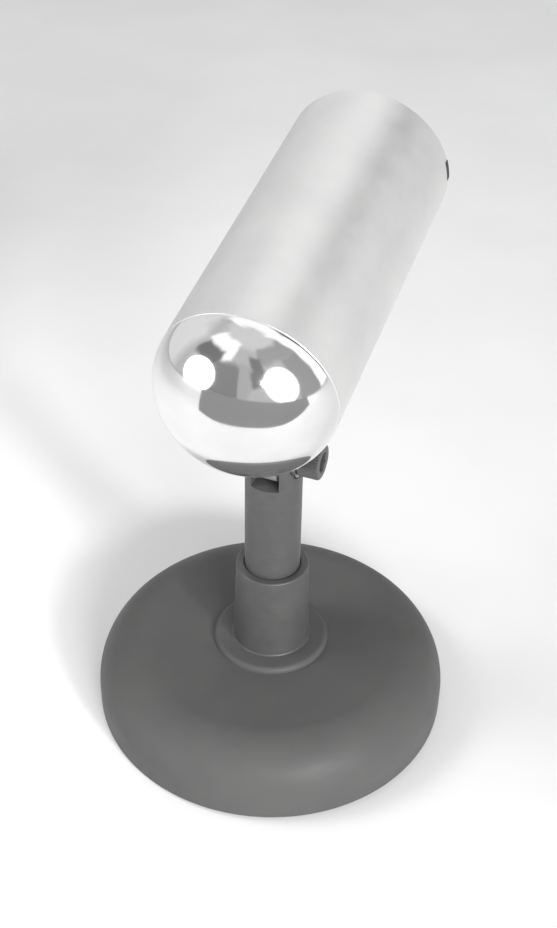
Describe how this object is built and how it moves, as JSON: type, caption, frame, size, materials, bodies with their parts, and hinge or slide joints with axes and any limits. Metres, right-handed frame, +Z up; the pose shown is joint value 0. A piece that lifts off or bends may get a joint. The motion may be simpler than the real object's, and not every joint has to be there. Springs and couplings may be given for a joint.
{
  "type": "radiometer",
  "caption": "Thermopile radiometer: a satin metal tube with a polished dome at the rear and a window at the front, tilting and swivelling on a post with a heavy round base.",
  "frame": {"origin": "centre of the base pad's underside, on the bench", "axes": "+Z up along the post, +Y the level direction the tube's window end points, +X to the right when looking along +Y, on the clamp screw's side"},
  "size_m": [0.0826, 0.104, 0.1319],
  "materials": {
    "base_enamel": "satin black stove enamel on turned cast iron",
    "stand_metal": "turned steel, chemically blackened, satin",
    "tube_metal": "fine bead-blasted and clear-lacquered tube, satin",
    "dome_metal": "mirror-polished",
    "steel": "machine-finished fasteners",
    "brass": "turned, unlacquered",
    "black_anodised": "matt black anodised stops and ring",
    "receiver_black": "camphor-black coating, dead matt",
    "junctions": "wound thermocouple wire and varnish",
    "phenolic": "turned laminate, satin",
    "guard_metal": "fine-turned, bright",
    "window_glass": "polished fused silica",
    "rubber": "matt",
    "pad_rubber": "moulded sheet rubber, matt",
    "nylon": "turned nylon",
    "fibre": "vulcanised fibre",
    "nickel": "nickel-plated, slightly dulled",
    "enamelled_wire": "enamelled copper wire"
  },
  "bodies": {
    "base": {"base_body": "base_enamel", "base_pad": "pad_rubber", "stand_bolt": "steel", "stand_washer": "steel", "foot_ring": "base_enamel", "collar": "stand_metal", "thrust_washer": "nylon", "pinch_screw": "steel", "pinch_pad": "nylon"},
    "post": {"post": "stand_metal", "friction_washers": "fibre", "clamp_washer": "steel"},
    "tilt_clamp": {"clamp_screw": "stand_metal"},
    "head": {"saddle": "tube_metal", "saddle_screws": "steel", "tube": "tube_metal", "dome_cap": "dome_metal", "dome_seal": "rubber", "heat_sink": "brass", "thermopile": "junctions", "receiver_disc": "receiver_black", "insulator_ring": "phenolic", "guard_plate": "guard_metal", "guard_screws": "steel", "spacer_rear": "black_anodised", "spacer_middle": "black_anodised", "spacer_front": "black_anodised", "baffle_rear": "black_anodised", "baffle_middle": "black_anodised", "baffle_front": "black_anodised", "window": "window_glass", "window_seal": "rubber", "aperture_ring": "black_anodised", "output_connector": "nickel", "connector_insulator": "nylon", "centre_contact": "brass", "connector_seat": "stand_metal", "connector_nut": "nickel", "lead_wires": "enamelled_wire"}
  },
  "joints": [
    {"name": "swivel", "type": "hinge", "parent": "base", "child": "post", "pos_m": [0, 0, 0.035], "axis": [0, 0, 1], "continuous": true},
    {"name": "tilt", "type": "hinge", "parent": "post", "child": "head", "pos_m": [0, 0, 0.0716], "axis": [1, 0, 0], "range_deg": [-57, 78]},
    {"name": "clamp_turn", "type": "hinge", "parent": "post", "child": "tilt_clamp", "pos_m": [0, 0, 0.0716], "axis": [1, 0, 0], "range_deg": [0, 180]}
  ]
}
